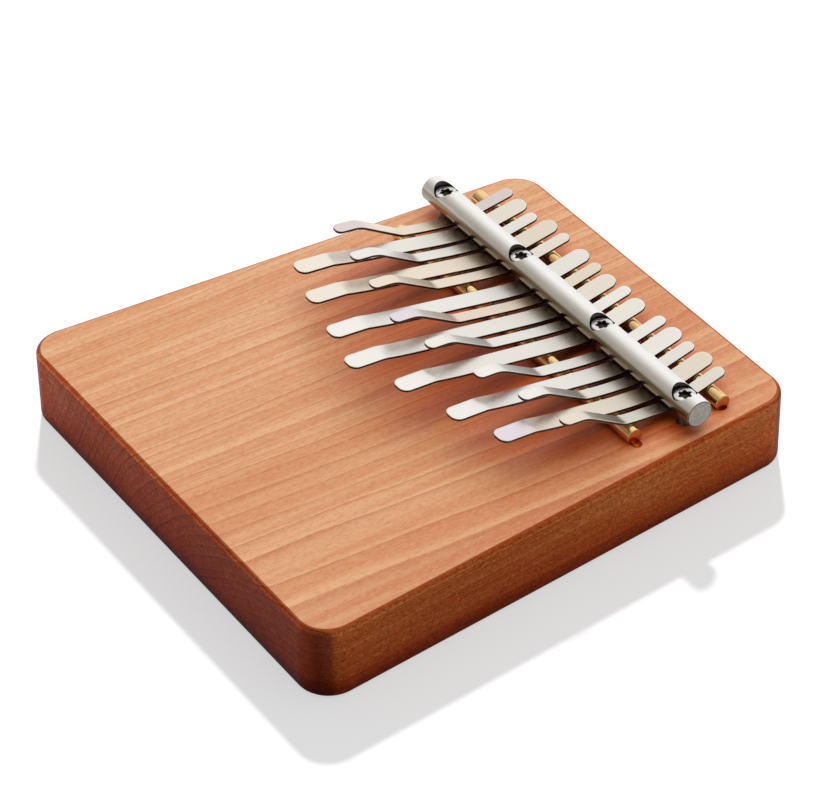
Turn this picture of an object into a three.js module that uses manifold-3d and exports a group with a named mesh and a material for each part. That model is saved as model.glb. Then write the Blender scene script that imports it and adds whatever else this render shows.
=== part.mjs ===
import * as THREE from 'three';
import { mergeVertices } from 'three/addons/utils/BufferGeometryUtils.js';
import Module from 'manifold-3d';

// A board-mounted thumb piano (mbira). Millimetres, +Z up, +X along the pressure bar,
// +Y from the playing ends of the tines towards their tails.
// The origin is at the middle of the board's underside.

// Soundboard: a solid slab, wider at the playing edge than behind the tines.
const BOARD_FRONT_WIDTH = 160;
const BOARD_BACK_WIDTH = 134;
const BOARD_LENGTH = 170;
const BOARD_THICKNESS = 24;
const BOARD_CORNER = 10;
const BOARD_ROUNDOVER = 1.6;

// Round pressure bar, held down by four screws in flat-bottomed counterbores.
const BAR_RADIUS = 4.25;
const BAR_LENGTH = 134;
const BAR_CHAMFER = 0.4;
const BAR_Y = 51;
const BAR_Z = 31.15;
const SCREW_X = [-59.8, -20.35, 20.35, 59.8];
const HEAD_RADIUS = 3.35;
const HEAD_HEIGHT = 2;
const HEAD_SEAT_Z = 31.65;
const COUNTERBORE_RADIUS = 3.7;
const SHANK_RADIUS = 1.95;
const SHANK_HOLE_RADIUS = 2.2;
const SHANK_END_Z = 10;
const PILOT_END_Z = 9;
const LOBE_RADIUS = 1.93;
const LOBE_WAIST = 1.4;
const LOBE_DEPTH = 1.4;

// Bridge rods, lying in shallow round-bottomed grooves milled across the board.
const ROD_RADIUS = 2.5;
const GROOVE_RADIUS = 2.6;
const GROOVE_OVERRUN = 1.7;
const ROD_FRONT = { y: 33.9, z: 26.0, length: 119.4 };
const ROD_REAR = { y: 63.6, z: 25.8, length: 122.8 };

// Tines: flat spring-steel strips in three groups of five, narrow raised ones and
// wide low ones by turns, splayed slightly so that they open towards the player.
const TINE_THICKNESS = 0.9;
const NARROW_WIDTH = 4.3;
const WIDE_WIDTH = 6.4;
const PITCH = 7.42;
const GROUP_STEP = 10.5;
const GROUP_SIZE = 5;
const SPLAY_PER_MM = 0.00097;
const TIP_Y = [8.7, -9.3, 4.9, -14.8, 1.6, -19.5, -3.2, -23.5, -1.6, -16.8, 2.6, -11.8, 7.4, -6.3, 10.8];
const TINTS = [
  'rose', 'warm', 'cool', 'warm', 'warm', 'cool', 'rose', 'warm',
  'cool', 'warm', 'cool', 'cool', 'cool', 'warm', 'warm',
];
const TAIL_Y = [70.5, 70.4, 69.4, 71.5, 71.1, 70.8, 70.2, 70.0, 70.5, 70.0, 70.3, 70.4, 69.8, 70.6, 69.8];

// How far each tip stands above the height that the shared side view gives it.
const TIP_LIFT = [0.3, -0.4, 0.1, -0.6, 0, -0.2, 0.3, -0.3, 0.2, -0.3, 0.4, 0.3, 1.0, 1.2, 1.4];

// Side view of a tine. It dips under the bar, rises over both rods and runs on
// upwards to its playing end. Slopes are rise per millimetre away from the bar.
const ROD_GAP = 0.24;
const BAR_GAP = 0.18;
const DIP_HALF = 1.6;
const BRIDGE_SLOPE = 0.19;
const RAMP_START = 21.9;
const RAMP_END = 7.7;
const RAMP_SLOPE = 0.585;
const RAMP_LIMIT_Y = 32.2;
const SHOULDER_START = 21.4;
const SHOULDER_END = 10.9;
const SHOULDER_SLOPE = 0.235;
const LANDING_SLOPE = 0.085;

// A playing tongue is hinged to the clamped part of its tine in front of the bridge.
const SPLIT_Y = 31.15;
const SPLIT_GAP = 0.3;

const wasm = await Module();
wasm.setup();

function toSolid(geometry) {
  const plain = geometry.clone();
  plain.deleteAttribute('normal');
  plain.deleteAttribute('uv');
  const merged = mergeVertices(plain, 1e-4);
  return new wasm.Manifold(new wasm.Mesh({
    numProp: 3,
    vertProperties: new Float32Array(merged.attributes.position.array),
    triVerts: new Uint32Array(merged.index.array),
  }));
}

function toGeometry(solid) {
  const mesh = solid.getMesh();
  const geometry = new THREE.BufferGeometry();
  geometry.setAttribute('position', new THREE.BufferAttribute(mesh.vertProperties, 3));
  geometry.setIndex(new THREE.BufferAttribute(mesh.triVerts, 1));
  geometry.computeVertexNormals();
  return geometry;
}

function metal(color, roughness) {
  return new THREE.MeshStandardMaterial({ color, roughness, metalness: 1 });
}

const cherry = new THREE.MeshStandardMaterial({ color: 0xc98356, roughness: 0.5, metalness: 0 });
const satin = metal(0xc9c9c7, 0.35);
const plated = metal(0xd8d8d6, 0.25);
const brass = metal(0xd9a860, 0.28);
const springSteel = {
  warm: metal(0xded6c6, 0.32),
  rose: metal(0xd9cfd0, 0.32),
  cool: metal(0xdcdee0, 0.32),
};

function named(name, geometry, material) {
  const mesh = new THREE.Mesh(geometry, material.clone());
  mesh.name = name;
  return mesh;
}

function cylinderAlongZ(radius, low, high, x, y, segments) {
  const geometry = new THREE.CylinderGeometry(radius, radius, high - low, segments);
  return geometry.rotateX(Math.PI / 2).translate(x, y, (low + high) / 2);
}

// Outline of the board at a given distance inside its edge, with rounded corners.
function boardOutline(inset) {
  const side = Math.hypot(1, (BOARD_FRONT_WIDTH - BOARD_BACK_WIDTH) / 2 / BOARD_LENGTH);
  const halfWidth = (y) => {
    const t = (y + BOARD_LENGTH / 2) / BOARD_LENGTH;
    const full = BOARD_FRONT_WIDTH + (BOARD_BACK_WIDTH - BOARD_FRONT_WIDTH) * t;
    return full / 2 - inset * side;
  };
  const y = BOARD_LENGTH / 2 - inset;
  const corners = [
    new THREE.Vector2(halfWidth(-y), -y),
    new THREE.Vector2(halfWidth(y), y),
    new THREE.Vector2(-halfWidth(y), y),
    new THREE.Vector2(-halfWidth(-y), -y),
  ];
  const radius = BOARD_CORNER - inset;
  const points = [];
  corners.forEach((corner, i) => {
    const before = corners[(i + 3) % 4].clone().sub(corner).normalize();
    const after = corners[(i + 1) % 4].clone().sub(corner).normalize();
    const half = before.angleTo(after) / 2;
    const centre = before.clone().add(after).setLength(radius / Math.sin(half)).add(corner);
    const start = before.clone().multiplyScalar(radius / Math.tan(half)).add(corner).sub(centre);
    const sweep = Math.PI - 2 * half;
    for (let k = 0; k <= 8; k += 1) {
      const turned = start.clone().rotateAround(new THREE.Vector2(), sweep * k / 8);
      points.push(turned.add(centre));
    }
  });
  return points;
}

// The slab: rings of the outline at rising heights, closed by a flat top and bottom.
function boardGeometry() {
  const rings = [];
  for (let k = 0; k <= 4; k += 1) {
    const angle = Math.PI / 2 * k / 4;
    const inset = BOARD_ROUNDOVER * (1 - Math.sin(angle));
    const z = BOARD_ROUNDOVER * (1 - Math.cos(angle));
    rings.push({ inset, z });
  }
  const upper = rings.map((ring) => ({ inset: ring.inset, z: BOARD_THICKNESS - ring.z })).reverse();
  const all = [...rings, ...upper];
  const positions = [];
  const count = boardOutline(0).length;
  all.forEach((ring) => {
    boardOutline(ring.inset).forEach((point) => positions.push(point.x, point.y, ring.z));
  });
  const index = [];
  for (let r = 0; r + 1 < all.length; r += 1) {
    for (let k = 0; k < count; k += 1) {
      const a = r * count + k;
      const b = r * count + (k + 1) % count;
      index.push(a, b, b + count, a, b + count, a + count);
    }
  }
  const top = (all.length - 1) * count;
  for (let k = 1; k + 1 < count; k += 1) {
    index.push(0, k + 1, k);
    index.push(top, top + k, top + k + 1);
  }
  const geometry = new THREE.BufferGeometry();
  geometry.setAttribute('position', new THREE.Float32BufferAttribute(positions, 3));
  geometry.setIndex(index);
  return geometry;
}

function grooveSolid(rod) {
  const length = rod.length + 2 * GROOVE_OVERRUN - 2 * GROOVE_RADIUS;
  const geometry = new THREE.CapsuleGeometry(GROOVE_RADIUS, length, 6, 24);
  return toSolid(geometry.rotateZ(Math.PI / 2).translate(0, rod.y, rod.z));
}

function makeBoard() {
  let solid = toSolid(boardGeometry());
  solid = solid.subtract(grooveSolid(ROD_FRONT)).subtract(grooveSolid(ROD_REAR));
  SCREW_X.forEach((x) => {
    const hole = cylinderAlongZ(SHANK_HOLE_RADIUS, PILOT_END_Z, BOARD_THICKNESS + 1, x, BAR_Y, 20);
    solid = solid.subtract(toSolid(hole));
  });
  return named('board', toGeometry(solid), cherry);
}

function latheAlongX(profile, segments) {
  const points = profile.map(([radius, along]) => new THREE.Vector2(radius, along));
  return new THREE.LatheGeometry(points, segments).rotateZ(-Math.PI / 2);
}

function makeBar() {
  const half = BAR_LENGTH / 2;
  const profile = [
    [0, -half],
    [BAR_RADIUS - BAR_CHAMFER, -half],
    [BAR_RADIUS, -half + BAR_CHAMFER],
    [BAR_RADIUS, half - BAR_CHAMFER],
    [BAR_RADIUS - BAR_CHAMFER, half],
    [0, half],
  ];
  let solid = toSolid(latheAlongX(profile, 40).translate(0, BAR_Y, BAR_Z));
  const top = BAR_Z + BAR_RADIUS + 1;
  SCREW_X.forEach((x) => {
    const seat = cylinderAlongZ(COUNTERBORE_RADIUS, HEAD_SEAT_Z, top, x, BAR_Y, 32);
    const hole = cylinderAlongZ(SHANK_HOLE_RADIUS, BAR_Z - BAR_RADIUS - 1, top, x, BAR_Y, 20);
    solid = solid.subtract(toSolid(seat)).subtract(toSolid(hole));
  });
  return named('pressure_bar', toGeometry(solid), satin);
}

function makeRod(name, rod) {
  const half = rod.length / 2;
  const chamfer = 0.2;
  const profile = [
    [0, -half],
    [ROD_RADIUS - chamfer, -half],
    [ROD_RADIUS, -half + chamfer],
    [ROD_RADIUS, half - chamfer],
    [ROD_RADIUS - chamfer, half],
    [0, half],
  ];
  const geometry = latheAlongX(profile, 32).translate(0, rod.y, rod.z);
  return named(name, toGeometry(toSolid(geometry)), brass);
}

// Six-lobed driver socket, as a shape that waves between its lobes and its waists.
function lobeShape() {
  const points = [];
  for (let k = 0; k < 36; k += 1) {
    const angle = 2 * Math.PI * k / 36;
    const mid = (LOBE_RADIUS + LOBE_WAIST) / 2;
    const radius = mid + (LOBE_RADIUS - LOBE_WAIST) / 2 * Math.cos(6 * angle);
    points.push(new THREE.Vector2(radius * Math.cos(angle), radius * Math.sin(angle)));
  }
  return new THREE.Shape(points);
}

function makeScrew(name, x) {
  const headTop = HEAD_SEAT_Z + HEAD_HEIGHT;
  const profile = [
    [0, SHANK_END_Z],
    [SHANK_RADIUS - 0.5, SHANK_END_Z],
    [SHANK_RADIUS, SHANK_END_Z + 0.6],
    [SHANK_RADIUS, HEAD_SEAT_Z],
    [HEAD_RADIUS, HEAD_SEAT_Z],
    [HEAD_RADIUS, headTop - 0.5],
    [HEAD_RADIUS - 0.15, headTop - 0.15],
    [HEAD_RADIUS - 0.5, headTop],
    [0, headTop],
  ];
  const points = profile.map(([radius, z]) => new THREE.Vector2(radius, z));
  const body = new THREE.LatheGeometry(points, 24).rotateX(Math.PI / 2);
  const socket = new THREE.ExtrudeGeometry(lobeShape(), { depth: LOBE_DEPTH + 1, bevelEnabled: false });
  socket.translate(0, 0, headTop - LOBE_DEPTH);
  const mesh = named(name, toGeometry(toSolid(body).subtract(toSolid(socket))), plated);
  mesh.position.set(x, BAR_Y, 0);
  return mesh;
}

// Height of a rod's top as the tine's underside meets it, with running clearance.
function overRod(rod, slope) {
  return rod.z + (ROD_RADIUS + ROD_GAP) * Math.hypot(1, slope);
}

// Underside of a tine, as points from its tail to its tip.
function undersidePoints(tip, tail, lift, narrow) {
  const dip = BAR_Z - BAR_RADIUS - BAR_GAP - TINE_THICKNESS;
  const rearSlope = (overRod(ROD_REAR, 0.2) - dip) / (ROD_REAR.y - BAR_Y - DIP_HALF / 2);
  const bridge = overRod(ROD_FRONT, BRIDGE_SLOPE);
  const span = BAR_Y - DIP_HALF - ROD_FRONT.y;
  const points = [
    [tail, overRod(ROD_REAR, 0.2) + rearSlope * (tail - ROD_REAR.y)],
    [BAR_Y + DIP_HALF, dip + rearSlope * DIP_HALF / 2],
    [BAR_Y, dip],
    [BAR_Y - DIP_HALF, dip + 0.06 * DIP_HALF],
  ];
  for (let k = 1; k < 4; k += 1) {
    const s = k / 4;
    const start = dip + 0.06 * DIP_HALF;
    const straight = start + (bridge - start) * s;
    const sag = 0.04 * span * s * (1 - s);
    points.push([BAR_Y - DIP_HALF - span * s, straight - sag]);
  }
  points.push([ROD_FRONT.y, bridge]);
  const bend = narrow
    ? [[Math.min(tip + RAMP_START, RAMP_LIMIT_Y), BRIDGE_SLOPE], [tip + RAMP_END, RAMP_SLOPE]]
    : [[tip + SHOULDER_START, BRIDGE_SLOPE], [tip + SHOULDER_END, SHOULDER_SLOPE]];
  bend.push([tip, LANDING_SLOPE]);
  const extraSlope = lift / (ROD_FRONT.y - tip);
  let [y, z] = points[points.length - 1];
  bend.forEach(([nextY, slope]) => {
    z += (slope + extraSlope) * (y - nextY);
    y = nextY;
    points.push([y, z]);
  });
  return points;
}

// Strip of constant thickness along the underside, cut to a plan outline with round ends.
function tineSolid(tip, tail, lift, narrow) {
  const width = narrow ? NARROW_WIDTH : WIDE_WIDTH;
  const under = undersidePoints(tip, tail, lift, narrow).map(([y, z]) => new THREE.Vector2(y, z));
  const above = under.map((point, i) => {
    const from = under[Math.max(i - 1, 0)];
    const to = under[Math.min(i + 1, under.length - 1)];
    const along = to.clone().sub(from).normalize();
    return new THREE.Vector2(point.x + along.y * TINE_THICKNESS, point.y - along.x * TINE_THICKNESS);
  });
  const side = new THREE.Shape([...under, ...above.reverse()]);
  const strip = new THREE.ExtrudeGeometry(side, { depth: width, bevelEnabled: false });
  strip.applyMatrix4(new THREE.Matrix4().makeBasis(
    new THREE.Vector3(0, 1, 0),
    new THREE.Vector3(0, 0, 1),
    new THREE.Vector3(1, 0, 0),
  ));
  strip.translate(-width / 2, 0, 0);
  const radius = width / 2;
  const plan = new THREE.Shape();
  plan.absarc(0, tip + radius + 0.15, radius, Math.PI, 2 * Math.PI, false);
  plan.absarc(0, tail - radius - 0.15, radius, 0, Math.PI, false);
  const column = new THREE.ExtrudeGeometry(plan, { depth: 30, bevelEnabled: false, curveSegments: 10 });
  return toSolid(strip).intersect(toSolid(column.translate(0, 0, 20)));
}

function slabBetween(low, high) {
  return toSolid(new THREE.BoxGeometry(20, high - low, 40).translate(0, (low + high) / 2, 34));
}

// One tine: a group turned by its splay, with the clamped part and the playing tongue.
function makeTine(number, x) {
  const label = String(number).padStart(2, '0');
  const narrow = number % 2 === 1;
  const whole = tineSolid(TIP_Y[number - 1], TAIL_Y[number - 1], TIP_LIFT[number - 1], narrow);
  const clamped = whole.intersect(slabBetween(SPLIT_Y + SPLIT_GAP / 2, 90));
  const tongue = whole.intersect(slabBetween(-90, SPLIT_Y - SPLIT_GAP / 2));
  const group = new THREE.Group();
  group.position.set(x, ROD_FRONT.y, 0);
  group.rotation.z = Math.atan(x * SPLAY_PER_MM);
  const steel = springSteel[TINTS[number - 1]];
  const parts = [
    named(`tine_${label}`, toGeometry(clamped), steel),
    named(`tongue_${label}`, toGeometry(tongue), steel),
  ];
  parts.forEach((part) => {
    part.position.y = -ROD_FRONT.y;
    group.add(part);
  });
  return group;
}

// Middle of a tine on the front rod, counted from the middle tine.
function tineX(number) {
  const step = number - 8;
  const group = Math.sign(step) * Math.floor((Math.abs(step) + 2) / GROUP_SIZE);
  return step * PITCH + group * (GROUP_STEP - PITCH);
}

const mbira = new THREE.Group();
mbira.add(makeBoard());
mbira.add(makeBar());
mbira.add(makeRod('rod_front', ROD_FRONT));
mbira.add(makeRod('rod_rear', ROD_REAR));
SCREW_X.forEach((x, i) => mbira.add(makeScrew(`screw_${i + 1}`, x)));
TIP_Y.forEach((tip, i) => mbira.add(makeTine(i + 1, tineX(i + 1))));

export default mbira;
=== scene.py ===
import math

import bmesh
import bpy
from mathutils import Matrix, Vector


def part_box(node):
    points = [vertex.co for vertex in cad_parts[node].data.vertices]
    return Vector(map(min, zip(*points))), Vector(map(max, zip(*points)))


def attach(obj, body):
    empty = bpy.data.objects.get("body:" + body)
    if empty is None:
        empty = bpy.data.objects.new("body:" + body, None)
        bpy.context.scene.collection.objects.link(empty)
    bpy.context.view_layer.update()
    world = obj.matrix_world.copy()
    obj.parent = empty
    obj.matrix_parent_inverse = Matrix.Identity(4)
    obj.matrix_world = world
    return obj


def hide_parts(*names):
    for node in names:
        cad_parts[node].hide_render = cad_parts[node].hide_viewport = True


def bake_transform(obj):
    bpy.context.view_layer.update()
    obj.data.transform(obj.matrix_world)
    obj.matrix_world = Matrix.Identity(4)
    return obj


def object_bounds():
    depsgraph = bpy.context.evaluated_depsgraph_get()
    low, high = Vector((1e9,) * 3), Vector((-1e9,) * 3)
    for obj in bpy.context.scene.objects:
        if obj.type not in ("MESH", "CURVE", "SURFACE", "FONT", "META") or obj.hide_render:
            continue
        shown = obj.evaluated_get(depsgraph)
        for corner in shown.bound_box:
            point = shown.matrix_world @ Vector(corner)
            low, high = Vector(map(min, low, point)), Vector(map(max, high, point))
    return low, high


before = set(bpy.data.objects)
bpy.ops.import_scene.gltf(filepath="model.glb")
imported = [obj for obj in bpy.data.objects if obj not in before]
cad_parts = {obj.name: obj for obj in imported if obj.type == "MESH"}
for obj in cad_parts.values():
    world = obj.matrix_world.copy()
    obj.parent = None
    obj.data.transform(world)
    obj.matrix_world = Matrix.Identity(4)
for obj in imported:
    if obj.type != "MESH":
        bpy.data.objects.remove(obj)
cad_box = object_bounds()

# Lengths are in metres, and are given in millimetres where they end in * MM. Angles are in degrees.
MM = 0.001

# Board outline. Its length and thickness come from the frame.
BOARD_FRONT_WIDTH = 159.92 * MM
BOARD_BACK_WIDTH = 133.92 * MM
BOARD_CORNER = 10 * MM
BOARD_ROUNDOVER = 1.8 * MM
CORNER_STEPS = 20
ROUNDOVER_STEPS = 7
GROOVE_CLEARANCE = 0.1 * MM
GROOVE_OVERRUN = {"rod_front": 3.5 * MM, "rod_rear": 1.7 * MM}
PILOT_RADIUS = 2.2 * MM
CUTTER_OVERRUN = 1 * MM

# Bar and screws.
BAR_CHAMFER = 0.35 * MM
COUNTERBORE_RADIUS = 3.7 * MM
SHANK_HOLE_RADIUS = 2.2 * MM
SHANK_RADIUS = 1.95 * MM
HEAD_HEIGHT = 2 * MM
HEAD_EDGE = 0.4 * MM
LOBE_RADIUS = 2.08 * MM
LOBE_WAIST = 1.48 * MM
LOBE_DEPTH = 1.3 * MM
LOBE_CHAMFER = 0.12 * MM
THREAD_PITCH = 0.7 * MM
THREAD_DEPTH = 0.32 * MM
THREAD_START = 0.6 * MM
THREAD_END = 0.6 * MM
RINGS_PER_TURN = 6
POINT_RADIUS = 0.6 * SHANK_RADIUS
HEAD_FOOT_EDGE = 0.1 * MM
SOCKET_CONE = 0.4 * MM
SOCKET_TURNS = {"screw_1": 12, "screw_2": 30, "screw_3": 4, "screw_4": 28}
SCREWS = list(SOCKET_TURNS)

ROD_EDGE = 0.22 * MM
RODS = ["rod_front", "rod_rear"]

# Tines: plan layout, as in the CAD part.
TINES = range(1, 16)
MIDDLE_TINE = 8
PITCH = 7.42 * MM
GROUP_STEP = 10.5 * MM
GROUP_SIZE = 5
SPLAY_PER_METRE = 0.97
NARROW_WIDTH = 4.3 * MM
WIDE_WIDTH = 6.4 * MM
TINE_THICKNESS = 0.9 * MM
TINE_EDGE = 0.13 * MM
TAIL_ROUNDING = 0.93
TIP_ROUNDING = 0.8
STATION = 0.5 * MM
TIP_LIFT = [0.3, -0.4, 0.1, -0.6, 0, -0.2, 0.3, -0.3, 0.2, -0.3, 0.4, 0.3, 1.0, 1.2, 1.4]
TOUCH = 0.02 * MM
DIP_ROUNDS = 3

# Side view of a tine, from its tail to its tip: slopes are rise per length towards
# the tip, and each bend is spread over twice the half length named for it.
BRIDGE_SLOPE = 0.19
BRIDGE_BEND = 4.6 * MM
RAMP_START = 21.9 * MM
RAMP_LIMIT = 1.7 * MM
RAMP_END = 7.7 * MM
RAMP_SLOPE = 0.585
SHOULDER_START = 17.9 * MM
SHOULDER_END = 11.2 * MM
SHOULDER_SLOPE = 0.262
LANDING_SLOPE = 0.085
BAR_BEND_HALF = 0.8 * MM
BRIDGE_BEND_HALF = 2.5 * MM
RAMP_HALF = 1.1 * MM
RAMP_END_HALF = 2.2 * MM
SHOULDER_HALF = 5.5 * MM
SHOULDER_END_HALF = 0.8 * MM

# Tints of the spring steel, and from tine 1 on the slot of each tine and its tints at tail, middle and tip.
STEEL_TINTS = {
    "pale": (0.85, 0.82, 0.77),
    "silver": (0.81, 0.79, 0.74),
    "grey": (0.80, 0.77, 0.70),
    "cream": (0.83, 0.80, 0.72),
    "ivory": (0.84, 0.77, 0.67),
    "sand": (0.81, 0.75, 0.65),
    "straw": (0.82, 0.72, 0.59),
    "bronze": (0.78, 0.70, 0.58),
    "copper": (0.80, 0.67, 0.55),
    "dull": (0.75, 0.72, 0.63),
    "dusk": (0.72, 0.63, 0.61),
    "violet": (0.75, 0.69, 0.73),
}
TINE_STEELS = [
    ("rose", "dusk", "straw", "dusk"),
    ("warm", "sand", "grey", "ivory"),
    ("cool", "silver", "silver", "silver"),
    ("warm", "bronze", "straw", "ivory"),
    ("warm", "sand", "straw", "straw"),
    ("cool", "silver", "silver", "pale"),
    ("rose", "bronze", "copper", "violet"),
    ("warm", "sand", "grey", "pale"),
    ("cool", "pale", "silver", "cream"),
    ("cool", "cream", "grey", "pale"),
    ("cool", "pale", "silver", "pale"),
    ("cool", "pale", "silver", "pale"),
    ("cool", "grey", "grey", "pale"),
    ("warm", "bronze", "bronze", "violet"),
    ("warm", "dull", "dull", "bronze"),
]

# Limits that sort faces into kinds. The facings are cosines, and the skins are shares of the bar's radius.
FLAT_FACING = 0.98
EDGE_FACING = 0.25
END_FACING = 0.9999
SKIN_FACING = 0.7
ALIGNED = 0.99
UPRIGHT = 0.1
SKIN = 0.98
NEAR_SKIN = 0.02

# Steps round the turned pieces and over their edges, and the angles over which edges stay sharp.
BAR_STEPS = 144
COUNTERBORE_STEPS = 96
ROD_STEPS = 72
SCREW_STEPS = 72
GROOVE_STEPS = 64
HOLE_STEPS = 48
GROOVE_END_STEPS = 10
TINE_END_STEPS = 10
BAR_EDGE_STEPS = 4
HEAD_EDGE_STEPS = 4
ROD_EDGE_STEPS = 3
TINE_EDGE_STEPS = 2
CORNERED = 40
ROUNDED = 60

# The rings of the cherry run round a pith line along Y, and waver sideways by these widths, in millimetres.
PITH_X = 78.0
PITH_DEPTH = 58.0
RING_SWAY = 26.0
RING_WANDER = 4.0
RING_SHIVER = 0.55
RINGS_PER_MM = 0.34
RING_UNEVENNESS = 3.4
LATE_SHARPNESS = 6.0

# Linear colours of the cherry, and tones that multiply them. Apart from the speckles and the rings on the
# ends, the tones are painted shade and light, and the sides' tones are also their own darker colour.
PATCH_COLORS = [
    (0.32, (0.545, 0.240, 0.092)),
    (0.52, (0.590, 0.295, 0.132)),
    (0.70, (0.625, 0.345, 0.175)),
]
PALE_STREAK = (0.665, 0.425, 0.245)
RED_STREAK = (0.520, 0.180, 0.055)
EARLY_WOOD = (0.700, 0.480, 0.290)
LATE_WOOD = (0.370, 0.090, 0.020)
DARK_FLECK = (0.450, 0.130, 0.030)
PALE_FLECK = (0.670, 0.415, 0.235)
DARK_FIBRE = (0.400, 0.115, 0.027)
DARK_PORE = (0.310, 0.080, 0.020)
RIGHT_SHADE_TONE = (0.915, 0.79, 0.69)
COVERED_SHADE_TONE = (1.0, 0.44, 0.16)
SHUT_SHADE_TONE = (0.30, 0.25, 0.25)
SIDE_TONE_AND_SHADE_FRONT = (0.91, 0.550, 0.330)
SIDE_TONE_AND_SHADE_BACK = (1.14, 0.750, 0.450)
END_TONE_AND_SHADE = (0.74, 0.295, 0.245)
DARK_SPECKLE = (0.52, 0.44, 0.40)
PALE_SPECKLE = (1.40, 1.60, 1.60)
FOOT_SHADE_TONE = (0.40, 0.34, 0.30)
LOWER_SHADE_TONE = (0.88, 0.86, 0.86)
END_RIGHT_SHADE_TONE = (0.68, 0.63, 0.58)
END_LEFT_LIGHT_TONE = (1.38, 1.55, 1.50)
END_RING_TONE = (0.66, 0.60, 0.56)
CORNER_SHADE_TONE = (0.48, 0.38, 0.42)
SIDE_EDGE_SHADE_TONE = (0.64, 0.54, 0.58)
END_EDGE_LIGHT_TONE = (1.9, 2.1, 1.9)
EDGE_HIGHLIGHT_TONE = (1.25, 1.25, 1.20)

# How far round the wood looks for neighbours, and the openness at which each tone of painted shade starts
# and is full.
OPENNESS_REACH = 30 * MM
OPENNESS_SAMPLES = 12
COVERED_SHADE_SPAN = (0.93, 0.42)
SHUT_SHADE_SPAN = (0.30, 0.12)

# The camera stands where the photograph was taken from.
CAMERA_AZIMUTH = 56.889
CAMERA_ELEVATION = 38.471
CAMERA_ROLL = -0.982
CAMERA_DISTANCE = 1118.2 * MM
CAMERA_TARGET = Vector((-17.48, 9.09, 0)) * MM
CAMERA_LENS = 166.12
CAMERA_SENSOR = 36
CAMERA_CLIP = (0.01, 50)

# Studio light. The sky brightens over a span of the direction's y, and a little over a span of its z.
FRONT_FADE = (-0.62, 0.42)
HORIZON_FADE = (0.31, 0.56)
SKY_FRONT = 0.38
SKY_BACK = 1.1
HORIZON_DIMMING = 0.9
SKY_FRONT_TINT = (1.0, 0.92, 0.80)
SKY_DIFFUSE = 0.5
SKY_DIFFUSE_TINT = (1.0, 0.85, 0.68)
SOFT_ENERGY = 2.75
SOFT_SIZE = 80
SOFT_AZIMUTH = CAMERA_AZIMUTH + 195
SOFT_ELEVATION = 70
SHADOW_ENERGY = 3.7
SHADOW_SIZE = 3
SHADOW_AZIMUTH = CAMERA_AZIMUTH + 180
SHADOW_ELEVATION = 42
LAMP_DISTANCE = 2.0
FLOOR_GLOW = 0.575
FLOOR_HALF_WIDTH = 3.0
FLOOR_THICKNESS = 5 * MM
WHITE = (1.0, 1.0, 1.0)


# Meshes

def loft(name, rings, strip_caps=False):
    """A closed mesh through rings of points, outwards or upwards. A ring of one point ends in a tip.

    Other ends are closed by one flat face, or by strips between the two halves of the ring.
    """
    mesh = bmesh.new()
    rows = [[mesh.verts.new(point) for point in ring] for ring in rings]
    for lower, upper in zip(rows, rows[1:]):
        count = max(len(lower), len(upper))
        for i in range(count):
            j = (i + 1) % count
            corners = [lower[i % len(lower)], lower[j % len(lower)]]
            corners += [upper[j % len(upper)], upper[i % len(upper)]]
            mesh.faces.new(list(dict.fromkeys(corners)))
    for row in (rows[0], rows[-1]):
        if len(row) < 3:
            continue
        if strip_caps:
            for i in range(len(row) // 2 - 1):
                mesh.faces.new([row[i], row[i + 1], row[-2 - i], row[-1 - i]])
        else:
            mesh.faces.new(row)
    bmesh.ops.recalc_face_normals(mesh, faces=mesh.faces)
    data = bpy.data.meshes.new(name)
    mesh.to_mesh(data)
    mesh.free()
    made = bpy.data.objects.new(name, data)
    bpy.context.scene.collection.objects.link(made)
    return made


def arc(start, end, steps):
    """Angles in radians from start to end, given in degrees, with both ends."""
    return [math.radians(start + (end - start) * i / steps) for i in range(steps + 1)]


def rounding(radius, steps):
    """A quarter round between a face and a side, as (distance inside the side, distance from the face)."""
    return [(radius * (1 - math.sin(a)), radius * (1 - math.cos(a))) for a in arc(0, 90, steps)]


def circle(centre, radius, height, steps, axis="Z"):
    """A ring of points round a line through centre, at a height along it."""
    points = []
    for i in range(steps):
        angle = 2 * math.pi * i / steps
        a, b = radius * math.cos(angle), radius * math.sin(angle)
        offset = Vector((a, b, height)) if axis == "Z" else Vector((height, a, b))
        points.append(centre + offset)
    return points


def lathe(name, profile, centre, steps, axis="Z"):
    """A turned solid. The profile is a list of (radius, height), and radius 0 is a point."""
    rings = []
    for radius, height in profile:
        rings.append(circle(centre, radius, height, steps if radius else 1, axis))
    return loft(name, rings)


def applied(piece):
    """The piece with its modifiers worked into its mesh."""
    graph = bpy.context.evaluated_depsgraph_get()
    data = bpy.data.meshes.new_from_object(piece.evaluated_get(graph), depsgraph=graph)
    data.name = piece.name
    piece.modifiers.clear()
    piece.data = data
    return piece


def cut(piece, cutters):
    """Takes the cutters away from the piece, and removes them."""
    for cutter in cutters:
        boolean = piece.modifiers.new("cut", "BOOLEAN")
        boolean.operation = "DIFFERENCE"
        boolean.solver = "EXACT"
        boolean.object = cutter
    applied(piece)
    for cutter in cutters:
        bpy.data.objects.remove(cutter)
    return piece


def smooth(piece, angle):
    """Smooth shading with sharp edges over the angle, led by the larger faces."""
    piece.data.shade_smooth()
    piece.data.set_sharp_from_angle(angle=math.radians(angle))
    weighted = piece.modifiers.new("normals", "WEIGHTED_NORMAL")
    weighted.keep_sharp = True
    return applied(piece)


def centre_of(node):
    low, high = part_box(node)
    return (low + high) / 2


def axis_of(screw):
    """The point of a screw's axis at height 0."""
    place = centre_of(screw)
    return Vector((place.x, place.y, 0))


# Materials

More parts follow.
